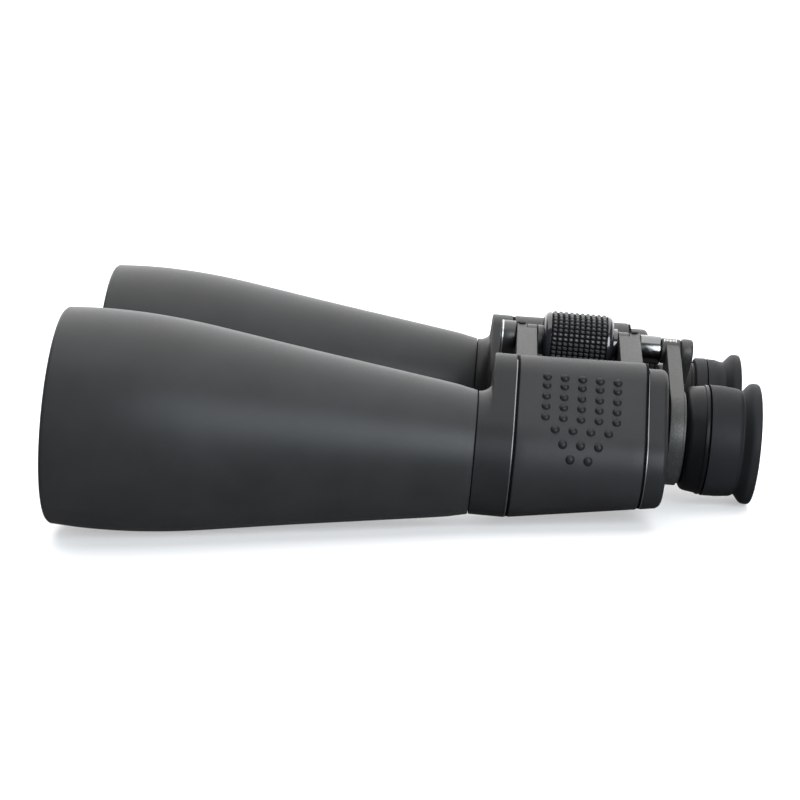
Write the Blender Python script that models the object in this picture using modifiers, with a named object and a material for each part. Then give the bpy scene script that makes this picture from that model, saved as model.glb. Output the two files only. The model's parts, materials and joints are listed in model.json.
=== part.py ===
"""A giant Porro-prism binocular of the 15 x 70 class, at rest on a table.

The pieces are laid out in an optical frame, in millimetres: Y runs forward along
the optical axes, X to the user's right, Z up, and the central hinge is the line
x = 0, z = 0. One empty tips that frame until the barrels and the eyecups touch the
table at z = 0. Every "left" measure is given on the user's left, where x is below
zero, and mirrored for the right half.
"""

import math

import bmesh
import bpy
from mathutils import Matrix

MM = 0.001
LEFT, RIGHT = 1, -1
SIDES = {"left": LEFT, "right": RIGHT}
GAP = 0.3
PLAY = 0.2

# Optical layout, left half
OBJECTIVE = (-64.15, -37.1)
EYEPIECE = (-35.1, -29.5)
FOLD = (-53.4, -18.8)
HINGE = (0.0, 0.0)

# Prism housing: the hull of three circles (x, z, radius); two of them change rearward
UPPER_CIRCLE_FRONT, UPPER_CIRCLE_REAR = (-51.4, -18.2, 19.4), (-51.4, -16.9, 19.3)
INNER_CIRCLE = (-35.1, -29.5, 20.0)
OUTER_CIRCLE_FRONT, OUTER_CIRCLE_REAR = (-64.15, -37.1, 24.5), (-70.0, -34.4, 17.7)
SECTION_FRONT_Y, SECTION_REAR_Y = 17.0, -36.5
HOUSING_FRONT_Y, HOUSING_REAR_Y = 16.7, -34.6
ARMOUR_THICK, ARMOUR_ROUND = 1.6, 0.7
ARMOUR_FIRST, ARMOUR_LAST = 60, 300
WALL = 2.0

# Front cover, its collar and the spigot that the barrel screws onto
COVER_FRONT_Y, COVER_SEAT_Y = 26.0, 17.3
COLLAR_END_Y, SPIGOT_END_Y = 31.5, 37.0
FILLET = 4.6
SPIGOT_RADIUS, LIGHT_RADIUS = 22.0, 20.0
REAR_COVER_Y, REAR_COVER_END_Y = -35.2, -43.0
REAR_COVER_EDGE, REAR_COVER_DROP = ((0.0, 2.2), (0.8, 0.7), (2.4, 0.0)), 2.2
COVER_WALL = 3.5

# Objective barrel, outer radius by y from the rim to the collar
BARREL_OUTER = (
    (196.8, 42.2), (195.6, 43.2), (183.0, 43.8), (170.0, 43.7), (157.4, 43.0), (143.0, 41.5),
    (127.9, 39.3), (98.4, 34.8), (46.0, 27.3), (36.0, 25.5), (31.8, 24.6),
)
BARREL_INNER = ((31.8, 22.4), (39.0, 22.4), (150.0, 40.4), (196.0, 40.4), (196.8, 41.0))
CELL_REAR_Y, CELL_FRONT_Y, CELL_RADIUS = 152.0, 173.0, 40.0
LENS_RADIUS, CLEAR_RADIUS = 36.5, 35.0

# Prisms, their shelf and their straps
SHELF_Y = (-9.2, -7.3)
PRISM_HALF, PRISM_WIDTH = 19.5, 20.0
STRAP_THICK, STRAP_WIDTH, STRAP_FOOT = 0.6, 6.0, 3.0
BEAM_RADIUS = 9.8

# Central hinge
LUG_FRONT_Y, LUG_REAR_Y = (8.4, 16.9), (-34.8, -25.7)
KNUCKLE_RADIUS, LUG_ROOT = {LEFT: 6.5, RIGHT: 7.4}, (-36.0, -8.2, 5.0)
TUBE_RADIUS, TUBE_NECK_RADIUS = 4.9, 4.3
HINGE_SCREW_Y = {"front": 14.9, "rear": -32.6}
CAP_Y, CAP_RADIUS = (17.3, 23.4), 7.0

# Focusing
WHEEL_Y, WHEEL_RADIUS = (-23.6, 5.6), 12.6
GRIP_Y = (-20.5, 2.3)
SLEEVE_Y, SLEEVE_RADIUS = (-44.0, -35.2), 5.9
SPINDLE_Y, SPINDLE_RADIUS = (-55.9, -2.0), 3.2
ARM_Y, ARM_RING, ARM_BOSS, ARM_BOSS_Y = (-51.8, -46.0), 19.6, 18.7, -52.7
LEFT_HUB, LEFT_HUB_Y = 5.3, (-51.95, -44.3)
RIGHT_HUB, RIGHT_HUB_Y = 5.7, (-57.5, -52.25)
END_SCREW_SEAT_Y, END_SCREW_RADIUS = -56.0, 4.0
TUBE_BORE = 15.1

# Eyepieces
EYECUP_END_Y, FLARE_RADIUS = -82.3, 24.6
GUIDE_RADIUS, LENS_BORE, OCULAR_BORE, SKIRT_RADIUS = 16.2, 13.2, 17.9, 19.3

STEPS = 24
BARREL_STEPS = 36
SECTION_STEP = 12


# ---------------------------------------------------------------- scene and materials


def clear_scene():
    for obj in list(bpy.data.objects):
        bpy.data.objects.remove(obj, do_unlink=True)


def new_collection(name):
    collection = bpy.data.collections.new(name)
    bpy.context.scene.collection.children.link(collection)
    return collection


def new_material(name, color, roughness, metallic=0.0, transmission=0.0):
    material = bpy.data.materials.new(name)
    material.use_nodes = True
    shader = material.node_tree.nodes["Principled BSDF"]
    shader.inputs["Base Color"].default_value = (*color, 1.0)
    shader.inputs["Roughness"].default_value = roughness
    shader.inputs["Metallic"].default_value = metallic
    shader.inputs["Transmission Weight"].default_value = transmission
    return material


clear_scene()
PARTS = new_collection("binocular")
CUTTERS = new_collection("cutters")
SOFT_COAT = new_material("soft_coat", (0.045, 0.048, 0.048), 0.55)
RUBBER = new_material("armour_rubber", (0.05, 0.052, 0.053), 0.6)
EYECUP_RUBBER = new_material("eyecup_rubber", (0.04, 0.04, 0.043), 0.7)
GREY_PAINT = new_material("textured_grey_paint", (0.16, 0.17, 0.165), 0.5, 0.4)
BLACK_PAINT = new_material("satin_black_paint", (0.03, 0.03, 0.032), 0.4)
GLOSS_BLACK = new_material("gloss_black_metal", (0.02, 0.02, 0.024), 0.15, 0.6)
ANODISED = new_material("black_anodised_aluminium", (0.03, 0.03, 0.03), 0.35, 0.8)
BRASS = new_material("brass", (0.6, 0.45, 0.2), 0.35, 1.0)
SPRING_STEEL = new_material("spring_steel", (0.55, 0.56, 0.58), 0.3, 1.0)
GLASS = new_material("coated_glass", (0.75, 0.85, 0.8), 0.03, 0.0, 0.9)


# ---------------------------------------------------------------- geometry helpers


def resting_tilt():
    """The angle that sets the barrels' bulge and the eyecups' flares on one table."""
    low_y, low_z = EYECUP_END_Y + 1.0, EYEPIECE[1] - FLARE_RADIUS
    return max(math.atan2(low_z - OBJECTIVE[1] + radius, y - low_y) for y, radius in BARREL_OUTER)


def make_frame():
    """The tipped empty that carries the whole optical frame, centred over the world's origin."""
    tilt = resting_tilt()
    low_y, low_z = EYECUP_END_Y + 1.0, EYEPIECE[1] - FLARE_RADIUS
    lift = -(math.sin(tilt) * low_y + math.cos(tilt) * low_z)
    rim_y, rim_radius = BARREL_OUTER[0]
    front = math.cos(tilt) * rim_y - math.sin(tilt) * (OBJECTIVE[1] - rim_radius)
    rear = math.cos(tilt) * EYECUP_END_Y - math.sin(tilt) * (EYEPIECE[1] + FLARE_RADIUS - 0.4)
    frame = bpy.data.objects.new("optical_frame", None)
    PARTS.objects.link(frame)
    frame.rotation_euler = (tilt, 0.0, 0.0)
    frame.location = (0.0, -0.5 * (front + rear) * MM, lift * MM)
    return frame


FRAME = make_frame()


def place(name, mesh, material, collection=PARTS):
    obj = bpy.data.objects.new(name, mesh)
    collection.objects.link(obj)
    obj.parent = FRAME
    if material:
        mesh.materials.append(material)
    if collection is CUTTERS:
        obj.hide_render = True
        obj.display_type = "WIRE"
    return obj


def mesh_of(name, bm):
    bmesh.ops.recalc_face_normals(bm, faces=bm.faces)
    mesh = bpy.data.meshes.new(name)
    bm.to_mesh(mesh)
    bm.free()
    mesh.shade_smooth()
    mesh.set_sharp_from_angle(angle=math.radians(35))
    return mesh


def turned(name, profile, centre, material, side=LEFT, ring=True, steps=STEPS):
    """Turns (y, radius) points, front to rear on the outer side, about a line along Y."""
    points = [(radius * MM, 0.0, y * MM) for y, radius in profile]
    edges = [(i, i + 1) for i in range(len(points) - 1)]
    if ring:
        edges.append((len(points) - 1, 0))
    mesh = bpy.data.meshes.new(name)
    mesh.from_pydata(points, edges, [])
    obj = place(name, mesh, material)
    obj.rotation_euler = (-math.pi / 2, 0.0, 0.0)
    obj.location = (side * centre[0] * MM, 0.0, centre[1] * MM)
    screw = obj.modifiers.new("turn", "SCREW")
    screw.axis = "Z"
    screw.steps = steps
    screw.render_steps = steps
    screw.use_merge_vertices = True
    screw.merge_threshold = 0.000002
    screw.use_smooth_shade = True
    return obj


def tube(name, y_span, outer, inner, centre, material, side=LEFT, steps=STEPS):
    rear, front = y_span
    profile = ((front, outer), (rear, outer), (rear, inner), (front, inner))
    return turned(name, profile, centre, material, side, steps=steps)


def lofted(name, rings, material, collection=PARTS):
    """A solid through rings of (x, y, z) points, capped at both ends."""
    bm = bmesh.new()
    loops = [[bm.verts.new([c * MM for c in point]) for point in ring] for ring in rings]
    for near, far in zip(loops, loops[1:]):
        for i, vert in enumerate(near):
            after = (i + 1) % len(near)
            bm.faces.new((vert, near[after], far[after], far[i]))
    bm.faces.new(loops[0])
    bm.faces.new(loops[-1])
    return place(name, mesh_of(name, bm), material, collection)


def slab(name, outline, y_span, material, collection=PARTS):
    """An (x, z) outline extruded along Y."""
    rings = [[(x, y, z) for x, z in outline] for y in y_span]
    return lofted(name, rings, material, collection)


def combine(target, other, operation):
    boolean = target.modifiers.new(operation.lower(), "BOOLEAN")
    boolean.operation = operation
    boolean.solver = "MANIFOLD"
    boolean.object = other


def drill(target, centre, radius, y_span, side=LEFT, steps=STEPS):
    """Cuts a round hole along Y."""
    rear, front = y_span
    bm = bmesh.new()
    turn = Matrix.Rotation(-math.pi / 2, 4, "X")
    bmesh.ops.create_cone(
        bm, cap_ends=True, segments=steps, radius1=radius * MM, radius2=radius * MM,
        depth=(front - rear) * MM, matrix=turn,
    )
    cutter = place(target.name + ".cut", mesh_of("cut", bm), None, CUTTERS)
    cutter.location = (side * centre[0] * MM, 0.5 * (rear + front) * MM, centre[1] * MM)
    combine(target, cutter, "DIFFERENCE")


def mirrored(points, side):
    return [(side * x, z) for x, z in points]


def lerp(a, b, share):
    return a + (b - a) * share


def hull_outline(circles, inset=0.0, first=0, last=359, step=SECTION_STEP, like=None):
    """The convex outline round some circles: for each direction, the circle that reaches furthest.

    With like, the circle is the one that reaches furthest in that other set, so that the
    rings of a tapering loft keep to the same circle in the same direction.
    """
    like = like or circles
    points = []
    for degrees in range(first, last + 1, step):
        angle = math.radians(degrees)
        along_x, along_z = math.cos(angle), math.sin(angle)
        reach = [x * along_x + z * along_z + radius for x, z, radius in like]
        x, z, radius = circles[reach.index(max(reach))]
        points.append((x + (radius - inset) * along_x, z + (radius - inset) * along_z))
    return points


def between(a, b, share):
    return tuple(lerp(p, q, share) for p, q in zip(a, b))


def housing_circles(y):
    share = min((y - SECTION_REAR_Y) / (SECTION_FRONT_Y - SECTION_REAR_Y), 1.0)
    outer = between(OUTER_CIRCLE_REAR, OUTER_CIRCLE_FRONT, share)
    return outer, between(UPPER_CIRCLE_REAR, UPPER_CIRCLE_FRONT, share), INNER_CIRCLE


def ring_at(outline, y):
    """An (x, z) outline stood at y."""
    return [(x, y, z) for x, z in outline]


def housing_outline(y, inset, first=0, last=359):
    middle = 0.5 * (SECTION_REAR_Y + SECTION_FRONT_Y)
    return hull_outline(housing_circles(y), inset, first, last, like=housing_circles(middle))


def section_ring(side, y, inset):
    return ring_at(mirrored(housing_outline(y, inset), side), y)


# ---------------------------------------------------------------- prism housings


def rear_cover_ring(side, y, inset):
    """The rear cover's outline: the housing's, with its top lower by REAR_COVER_DROP."""
    outer, (x, z, radius), inner = housing_circles(y)
    circles = outer, (x, z - REAR_COVER_DROP, radius), inner
    return ring_at(mirrored(hull_outline(circles, inset), side), y)


def cut_with_section(target, side, y_span, inset, ring=section_ring):
    rear, front = y_span
    rings = [ring(side, y, inset) for y in (rear, 0.5 * (rear + front), front)]
    cutter = lofted(target.name + ".hollow", rings, None, CUTTERS)
    combine(target, cutter, "DIFFERENCE")


def add_lug(housing, side, y_span, own_half, root):
    """A hinge lug: a flat arm up to the hinge line, cut back where the other half's knuckle sits."""
    outline = mirrored(hull_outline(((*HINGE, KNUCKLE_RADIUS[side]), root), step=20), side)
    arm = slab(housing.name + ".lug", outline, y_span, None, CUTTERS)
    combine(housing, arm, "UNION")
    rear, front = y_span
    middle = 0.5 * (rear + front)
    if own_half == "front":
        other_half = (rear - 1.0, middle + 0.5 * GAP)
    else:
        other_half = (middle - 0.5 * GAP, front + 1.0)
    drill(housing, HINGE, max(KNUCKLE_RADIUS.values()) + 0.4, other_half, steps=24)
    drill(housing, HINGE, TUBE_RADIUS + PLAY, (rear - 2.0, front + 2.0), steps=24)


def armour_stations():
    """The y of each ring along the housing, and how far the armour's edge is rounded off there."""
    rear, front = HOUSING_REAR_Y, HOUSING_FRONT_Y
    full = [rear + ARMOUR_ROUND, *(lerp(rear, front, i / 4) for i in (1, 2, 3)), front - ARMOUR_ROUND]
    return ((rear, ARMOUR_ROUND), *((y, 0.0) for y in full), (front, ARMOUR_ROUND))


def make_housing(label, side):
    """The die-cast prism housing: a shell open at both ends, with its two hinge lugs."""
    inset = ARMOUR_THICK + GAP
    rings = [section_ring(side, y, inset) for y, _ in armour_stations()]
    housing = lofted(f"{label}_prism_housing", rings, GREY_PAINT)
    halves = ("front", "rear") if side == LEFT else ("rear", "front")
    for lug_span, half in zip((LUG_FRONT_Y, LUG_REAR_Y), halves):
        add_lug(housing, side, lug_span, half, LUG_ROOT)
    cut_with_section(housing, side, (HOUSING_REAR_Y - 1.0, HOUSING_FRONT_Y + 1.0), inset + WALL)
    return housing


def make_armour(label, side):
    """The rubber armour: a band round the outer side of the housing, with rounded ends."""
    rings = []
    for y, round_off in armour_stations():
        outer = housing_outline(y, round_off, ARMOUR_FIRST, ARMOUR_LAST)
        inner = housing_outline(y, ARMOUR_THICK, ARMOUR_FIRST, ARMOUR_LAST)
        rings.append(ring_at(mirrored(outer + inner[::-1], side), y))
    return lofted(f"{label}_side_armour", rings, RUBBER)


def fillet_circles(rise):
    """The hull that shrinks from the flange to the collar alone as rise goes from 1 to 0."""
    outer = OUTER_CIRCLE_FRONT
    return outer, between(outer, UPPER_CIRCLE_FRONT, rise), between(outer, INNER_CIRCLE, rise)


def make_front_cover(label, side):
    """The front cover plate, its filleted collar and the spigot for the barrel."""
    rings = [section_ring(side, COVER_SEAT_Y, 0.0), section_ring(side, COVER_FRONT_Y - 0.8, 0.0)]
    flange_rise = FILLET / (math.dist(OUTER_CIRCLE_FRONT[:2], UPPER_CIRCLE_FRONT[:2]) - 5.0)
    stations = [(COVER_FRONT_Y, 0.95), (COVER_FRONT_Y + 0.3, flange_rise)]
    for turn in (35, 65, 90):
        forward = FILLET * (1.0 - math.cos(math.radians(turn)))
        rise = flange_rise * (1.0 - math.sin(math.radians(turn)))
        stations.append((COVER_FRONT_Y + 0.3 + forward, rise))
    stations.append((COLLAR_END_Y, 0.0))
    for y, rise in stations:
        outline = mirrored(hull_outline(fillet_circles(rise)), side)
        rings.append(ring_at(outline, y))
    cover = lofted(f"{label}_front_cover", rings, BLACK_PAINT)
    spigot_outline = hull_outline(((*OBJECTIVE, SPIGOT_RADIUS),))
    spigot_span = (COLLAR_END_Y - 1.0, SPIGOT_END_Y)
    spigot = slab(cover.name + ".spigot", mirrored(spigot_outline, side), spigot_span, None, CUTTERS)
    combine(cover, spigot, "UNION")
    cut_with_section(cover, side, (COVER_SEAT_Y - 1.0, COVER_FRONT_Y - 2.4), COVER_WALL)
    drill(cover, OBJECTIVE, LIGHT_RADIUS, (COVER_SEAT_Y, SPIGOT_END_Y + 1.0), side)
    return cover


def make_rear_cover(label, side):
    """The rear cover: a shallow cap with a rounded edge and a hole for the eyepiece guide."""
    rings = [rear_cover_ring(side, REAR_COVER_END_Y + ahead, inset) for ahead, inset in REAR_COVER_EDGE]
    rings.append(rear_cover_ring(side, REAR_COVER_Y, 0.0))
    cover = lofted(f"{label}_rear_cover", rings, BLACK_PAINT)
    hollow = (REAR_COVER_END_Y + 2.4, REAR_COVER_Y + 1.0)
    cut_with_section(cover, side, hollow, COVER_WALL, rear_cover_ring)
    drill(cover, EYEPIECE, GUIDE_RADIUS + GAP, (REAR_COVER_END_Y - 1.0, REAR_COVER_Y), side)
    return cover


# ---------------------------------------------------------------- prisms


def along_frame(start, end, side):
    """A matrix whose X runs from start to end, Y along the optical axis, at their middle."""
    run_x, run_z = side * (end[0] - start[0]), end[1] - start[1]
    turn = math.atan2(run_z, run_x)
    middle = between(start, end, 0.5)
    spot = Matrix.Translation((side * middle[0] * MM, 0.0, middle[1] * MM))
    return spot @ Matrix.Rotation(-turn, 4, "Y")


def wedge(name, outline, half_width, matrix, material):
    """An outline in the matrix's XY plane, with its thickness along the matrix's Z."""
    rings = [[(x, y, z) for x, y in outline] for z in (-half_width, half_width)]
    obj = lofted(name, rings, material)
    obj.matrix_local = matrix
    return obj


def make_prism(label, which, start, end, face_y, outward, side):
    """A right-angle prism: its long face turns the beam from start to end."""
    blunt = 1.0
    outline = (
        (-PRISM_HALF, face_y), (PRISM_HALF, face_y), (PRISM_HALF, face_y + outward * blunt),
        (blunt, face_y + outward * PRISM_HALF), (-blunt, face_y + outward * PRISM_HALF),
        (-PRISM_HALF, face_y + outward * blunt),
    )
    matrix = along_frame(start, end, side)
    wedge(f"{label}_{which}_prism", outline, 0.5 * PRISM_WIDTH, matrix, GLASS)


def make_strap(label, which, start, end, face_y, outward, side):
    """The spring strap over a prism's ridge, with a foot on the shelf at each side."""
    inside = 0.5 * PRISM_WIDTH + GAP
    top = face_y + outward * (PRISM_HALF + GAP)
    half = [
        (inside, top), (inside, face_y), (inside + STRAP_FOOT, face_y),
        (inside + STRAP_FOOT, face_y + outward * STRAP_THICK),
        (inside + STRAP_THICK, face_y + outward * STRAP_THICK),
        (inside + STRAP_THICK, top + outward * STRAP_THICK),
    ]
    outline = [(-x, y) for x, y in reversed(half)] + half
    quarter_turn = Matrix.Rotation(math.pi / 2, 4, "Y")
    matrix = along_frame(start, end, side) @ quarter_turn
    wedge(f"{label}_{which}_prism_strap", outline, 0.5 * STRAP_WIDTH, matrix, SPRING_STEEL)


def make_prism_set(label, side):
    shelf_y = 0.5 * sum(SHELF_Y)
    outline = mirrored(housing_outline(shelf_y, ARMOUR_THICK + WALL + 3 * GAP), side)
    shelf = slab(f"{label}_prism_shelf", outline, SHELF_Y, ANODISED)
    for centre in (OBJECTIVE, FOLD, EYEPIECE):
        drill(shelf, centre, BEAM_RADIUS, (SHELF_Y[0] - 1.0, SHELF_Y[1] + 1.0), side, 24)
    for which, start, end, face_y, outward in (
        ("rear", OBJECTIVE, FOLD, SHELF_Y[0] - GAP, -1),
        ("front", FOLD, EYEPIECE, SHELF_Y[1] + GAP, 1),
    ):
        make_prism(label, which, start, end, face_y, outward, side)
        make_strap(label, which, start, end, face_y, outward, side)


# ---------------------------------------------------------------- objectives


def arc_points(edge_y, sag, radius, steps=3):
    """(y, r) points of a spherical face from its rim to the axis; sag is how far the pole lies ahead."""
    curve = (radius * radius + sag * sag) / (2.0 * sag)
    points = []
    for i in range(steps + 1):
        r = radius * (1.0 - i / steps)
        rise = math.copysign(math.sqrt(curve * curve - r * r), curve) - (curve - sag)
        points.append((edge_y + rise, r))
    return points


def lens(name, front, rear, radius, centre, side, steps=3):
    """A lens; front and rear are (edge y, how far the pole lies ahead of that edge)."""
    front_arc = arc_points(*front, radius, steps)[::-1]
    rear_arc = arc_points(*rear, radius, steps)
    return turned(name, front_arc + rear_arc, centre, GLASS, side, ring=False)


def make_objective(label, side):
    barrel = BARREL_OUTER + BARREL_INNER
    turned(f"{label}_objective_barrel", barrel, OBJECTIVE, SOFT_COAT, side, steps=BARREL_STEPS)
    bore = LENS_RADIUS + GAP
    lip_y = CELL_REAR_Y + 3.0
    cell = (
        (CELL_FRONT_Y, CELL_RADIUS), (CELL_REAR_Y, CELL_RADIUS), (CELL_REAR_Y, CLEAR_RADIUS - 1.0),
        (lip_y, CLEAR_RADIUS - 1.0), (lip_y, bore), (CELL_FRONT_Y - 2.0, bore), (CELL_FRONT_Y, bore + 1.6),
    )
    turned(f"{label}_objective_cell", cell, OBJECTIVE, ANODISED, side, steps=BARREL_STEPS)
    flint_rear, joint_y, crown_front = lip_y + GAP, lip_y + 5.0, lip_y + 8.4
    lens(f"{label}_objective_flint", (joint_y, -2.8), (flint_rear, -0.25), LENS_RADIUS, OBJECTIVE, side)
    lens(
        f"{label}_objective_crown", (crown_front, 3.0), (joint_y + GAP, -2.8), LENS_RADIUS, OBJECTIVE, side
    )
    ring_span = (crown_front + GAP, crown_front + 3.2)
    tube(f"{label}_objective_ring", ring_span, LENS_RADIUS, CLEAR_RADIUS, OBJECTIVE, ANODISED, side)


# ---------------------------------------------------------------- hinge and focusing


def make_hinge():
    front_bore = 4.1
    tube("front_hinge_tube", (8.3, 17.0), TUBE_RADIUS, front_bore, HINGE, ANODISED)
    tube_front, neck_front, tube_rear = -26.2, SLEEVE_Y[1] + GAP, SLEEVE_Y[0] + GAP
    bore = SPINDLE_RADIUS + GAP
    rear_tube = (
        (tube_front, TUBE_RADIUS), (neck_front, TUBE_RADIUS), (neck_front, TUBE_NECK_RADIUS),
        (tube_rear, TUBE_NECK_RADIUS), (tube_rear, bore), (tube_front, bore),
    )
    turned("rear_hinge_tube", rear_tube, HINGE, ANODISED)
    tube("front_thrust_bush", (2.5, 8.0), 6.2, SPINDLE_RADIUS + GAP, HINGE, ANODISED)
    tube("spindle_sleeve", SLEEVE_Y, SLEEVE_RADIUS, TUBE_NECK_RADIUS + GAP, HINGE, GLOSS_BLACK)
    tube("tripod_socket_bush", (8.6, 16.7), front_bore - PLAY, 2.7, HINGE, BRASS)
    stud_start, stud_end, stud_radius = 9.5, 20.5, 2.4
    stud = ((stud_end, 0.0), (stud_end, stud_radius), (stud_start, stud_radius), (stud_start, 0.0))
    turned("tripod_cap_screw", stud, HINGE, BRASS, ring=False)
    rear, front = CAP_Y
    cap = (
        (front, 0.0), (front, CAP_RADIUS - 0.6), (front - 0.6, CAP_RADIUS), (rear, CAP_RADIUS),
        (rear, 2.7), (stud_end + GAP, 2.7), (stud_end + GAP, 0.0),
    )
    turned("tripod_cap", cap, HINGE, BLACK_PAINT, ring=False)


def add_hinge_screw(label, housing, y):
    """The grub screw that fixes a left knuckle on its hinge tube, in a hole from above."""
    for name, radius, low, high, collection in (
        (f"{label}_hinge_screw", 1.5, 5.3, 6.3, PARTS), (f"{label}_hole.cut", 1.8, 4.0, 8.0, CUTTERS),
    ):
        bm = bmesh.new()
        bmesh.ops.create_cone(
            bm, cap_ends=True, segments=12, radius1=radius * MM, radius2=radius * MM, depth=(high - low) * MM
        )
        obj = place(name, mesh_of(name, bm), ANODISED, collection)
        obj.location = (0.0, y * MM, 0.5 * (low + high) * MM)
    combine(housing, obj, "DIFFERENCE")


def make_focus_wheel():
    rear, front = WHEEL_Y
    bore, recess, core = SPINDLE_RADIUS + GAP, 8.0, 10.6
    shoulder = WHEEL_RADIUS - 0.3
    hub = (
        (front, 10.8), (front - 1.0, 11.9), (GRIP_Y[1] + GAP, shoulder), (GRIP_Y[1] + GAP, core),
        (GRIP_Y[0] - GAP, core), (GRIP_Y[0] - GAP, shoulder), (rear + 1.0, 11.7), (rear, 10.4),
        (rear, 7.2), (rear - 1.8, 7.2), (rear - 1.8, bore),
        (front - 3.4, bore), (front - 3.4, recess), (front, recess),
    )
    turned("focus_wheel_hub", hub, HINGE, GLOSS_BLACK)
    tube("focus_wheel_grip", GRIP_Y, WHEEL_RADIUS, core + GAP, HINGE, RUBBER)


def arm_point(distance, across=0.0):
    """A point so far from the hinge towards the left eyepiece, and so far across that line."""
    reach = math.hypot(*EYEPIECE)
    along_x, along_z = EYEPIECE[0] / reach, EYEPIECE[1] / reach
    return distance * along_x - across * along_z, distance * along_z + across * along_x


def make_arm(label, side, shapes):
    """A bridge arm built up from slabs, each the hull of some circles over a span of y."""
    arm = None
    for name, circles, span in shapes:
        outline = mirrored(hull_outline(circles), side)
        if arm is None:
            arm = slab(f"{label}_bridge_arm", outline, span, GREY_PAINT)
        else:
            piece = slab(f"{arm.name}.{name}", outline, span, None, CUTTERS)
            combine(arm, piece, "UNION")
    return arm


def make_left_arm():
    arm = make_arm("left", LEFT, (
        ("plate", ((*HINGE, LEFT_HUB - 0.7), (*EYEPIECE, ARM_RING)), ARM_Y),
        ("hub", ((*HINGE, LEFT_HUB),), LEFT_HUB_Y),
        ("boss", ((*EYEPIECE, ARM_BOSS),), (ARM_BOSS_Y, ARM_Y[0] + 1.0)),
    ))
    drill(arm, EYEPIECE, TUBE_BORE, (ARM_BOSS_Y - 1.0, ARM_Y[1] + 1.0))
    drill(arm, HINGE, SPINDLE_RADIUS + PLAY, (LEFT_HUB_Y[0] - 1.0, LEFT_HUB_Y[1] + 1.0))


def make_right_arm():
    """The right arm steps back at its hub, which turns on the spindle behind the left arm."""
    knee_y = (RIGHT_HUB_Y[0], ARM_Y[1])
    arm = make_arm("right", RIGHT, (
        ("plate", ((*arm_point(24.0), RIGHT_HUB - 0.1), (*EYEPIECE, ARM_RING)), ARM_Y),
        ("boss", ((*EYEPIECE, ARM_BOSS),), (ARM_BOSS_Y, ARM_Y[0] + 1.0)),
        ("knee", ((*arm_point(21.0, -2.5), 2.9), (*arm_point(21.0, 2.5), 2.9)), knee_y),
        ("hub", ((*HINGE, RIGHT_HUB), (*arm_point(17.0), RIGHT_HUB - 0.2)), RIGHT_HUB_Y),
    ))
    through = (RIGHT_HUB_Y[0] - 1.0, RIGHT_HUB_Y[1] + 1.0)
    drill(arm, EYEPIECE, TUBE_BORE, (ARM_BOSS_Y - 1.0, ARM_Y[1] + 1.0), RIGHT)
    drill(arm, HINGE, SPINDLE_RADIUS + PLAY, through)
    drill(arm, HINGE, END_SCREW_RADIUS + GAP, (through[0], END_SCREW_SEAT_Y))


def make_bridge():
    make_left_arm()
    make_right_arm()
    rear, front = SPINDLE_Y
    spindle = ((front, 0.0), (front, SPINDLE_RADIUS), (rear, SPINDLE_RADIUS), (rear, 0.0))
    turned("focus_spindle", spindle, HINGE, BRASS, ring=False)
    head_front, head_rear, radius = END_SCREW_SEAT_Y - PLAY, RIGHT_HUB_Y[0] + PLAY, END_SCREW_RADIUS
    head = (
        (head_front, 0.0), (head_front, radius), (head_rear + 0.4, radius),
        (head_rear, radius - 0.4), (head_rear, 0.0),
    )
    turned("bridge_end_screw", head, HINGE, GLOSS_BLACK, ring=False)


# ---------------------------------------------------------------- eyepieces


def make_left_collar():
    """The left collar: a domed nose that widens into a plain band beside the eyecup."""
    front, rear, seat = ARM_BOSS_Y - GAP, -62.1, -57.3
    collar = (
        (front, 18.7), (-53.7, 20.3), (-54.8, 21.1), (-60.2, 21.9), (-60.4, 22.3), (-61.6, 22.3),
        (rear, 21.9), (rear, OCULAR_BORE), (seat, OCULAR_BORE), (seat, TUBE_BORE), (front, TUBE_BORE),
    )
    turned("left_eyepiece_collar", collar, EYEPIECE, BLACK_PAINT, LEFT)


def make_right_collar():
    """The right collar: it ends in a thin skirt that the dioptre ring turns on."""
    front, rear, seat = ARM_BOSS_Y - GAP, -64.6, -55.4
    collar = (
        (front, 18.0), (-53.8, 19.6), (-54.8, 20.2), (-61.0, 20.8), (-61.4, 20.4), (-61.4, SKIRT_RADIUS),
        (rear, SKIRT_RADIUS), (rear, OCULAR_BORE), (seat, OCULAR_BORE), (seat, TUBE_BORE),
        (front, TUBE_BORE),
    )
    turned("right_eyepiece_collar", collar, EYEPIECE, BLACK_PAINT, RIGHT)


def make_dioptre_ring():
    front, rear, shoulder = -63.1, -68.0, -66.3
    ring = (
        (front, 21.2), (front - 0.5, 21.7), (rear + 0.4, 21.9), (rear, 21.5), (rear, OCULAR_BORE),
        (shoulder, OCULAR_BORE), (shoulder, SKIRT_RADIUS + GAP), (front, SKIRT_RADIUS + GAP),
    )
    turned("dioptre_ring", ring, EYEPIECE, EYECUP_RUBBER, RIGHT)


def make_eyecup(label, side, start, neck_radius, neck_end):
    """The rubber eyecup: a neck, a waist and a flared rim, hollowed for the brow."""
    end, flare = EYECUP_END_Y, FLARE_RADIUS
    cup = (
        (start, neck_radius), (neck_end, neck_radius - 0.1), (-74.2, neck_radius - 0.7), (-75.2, 20.9),
        (-77.4, 21.9), (-80.0, flare), (end + 0.8, flare), (end, flare - 0.4), (end, 22.4),
        (-78.0, 19.6), (-74.6, OCULAR_BORE), (start, OCULAR_BORE),
    )
    turned(f"{label}_eyecup", cup, EYEPIECE, EYECUP_RUBBER, side)


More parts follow.
